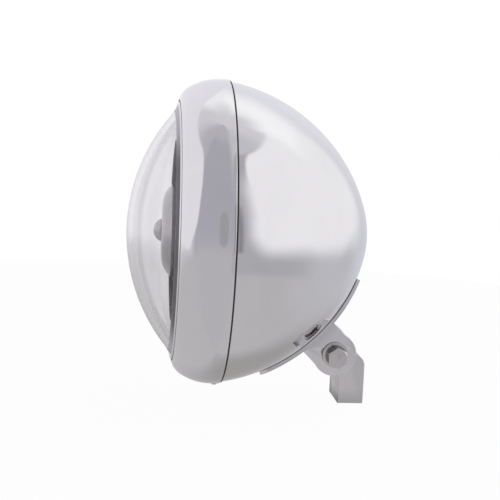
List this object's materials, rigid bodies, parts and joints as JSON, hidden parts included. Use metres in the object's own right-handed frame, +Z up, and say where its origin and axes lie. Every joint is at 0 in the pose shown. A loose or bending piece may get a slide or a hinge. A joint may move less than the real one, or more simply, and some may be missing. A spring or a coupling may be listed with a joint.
{
  "type": "round motorcycle headlight",
  "caption": "Round chrome headlamp with a domed clear lens, deep bowl and trim ring, tilting on a clevis over a bottom stem block.",
  "frame": {"origin": "centre of the stem block's bottom mounting face, on the axis of its threaded hole", "axes": "+Z up out of the mounting face towards the lamp, -Y the way the lamp shines, X along the pivot bolt with its head at +X"},
  "size_m": [0.1954, 0.1581, 0.2071],
  "materials": {
    "chrome_shell": "polished chrome plate",
    "chrome_mount": "chrome plate, a little duller than the bowl",
    "bolt_steel": "stainless, turned",
    "lens_glass": "clear pressed glass",
    "reflector_mirror": "vacuum-coated mirror",
    "shield_steel": "bright pressed steel",
    "inner_steel": "zinc-plated steel",
    "bulb_clear": "clear bulb glass",
    "bulb_metal": "bright metal cap",
    "terminal_brass": "plain brass",
    "black_rubber": "matte rubber"
  },
  "bodies": {
    "stem": {"stem_block": "chrome_mount"},
    "lamp": {"bucket": "chrome_shell", "rim_gasket": "black_rubber", "trim_ring": "chrome_shell", "trim_hook": "inner_steel", "trim_screw": "bolt_steel", "trim_nut": "inner_steel", "lens": "lens_glass", "lens_seal": "black_rubber", "reflector": "reflector_mirror", "retaining_ring": "inner_steel", "ring_lugs": "inner_steel", "retaining_screws": "bolt_steel", "bulb_glass": "bulb_clear", "bulb_filaments": "bulb_metal", "bulb_base": "bulb_metal", "bulb_terminals": "terminal_brass", "bulb_clip": "inner_steel", "bulb_boot": "black_rubber", "shield_dish": "shield_steel", "shield_cap": "shield_steel", "shield_legs": "shield_steel", "wire_grommet": "black_rubber", "saddle_pad": "black_rubber", "saddle_plate": "chrome_mount", "saddle_studs": "inner_steel", "backing_plate": "inner_steel", "stud_washers": "inner_steel", "stud_nuts": "inner_steel", "pivot_ears": "chrome_mount", "pivot_bolt": "bolt_steel", "pivot_washers": "bolt_steel", "spring_washer": "bolt_steel", "pivot_nut": "bolt_steel"}
  },
  "joints": [
    {"name": "lamp_tilt", "type": "hinge", "parent": "stem", "child": "lamp", "pos_m": [0, -0.0126, 0.0336], "axis": [1, 0, 0], "range_deg": [-25, 25]}
  ]
}
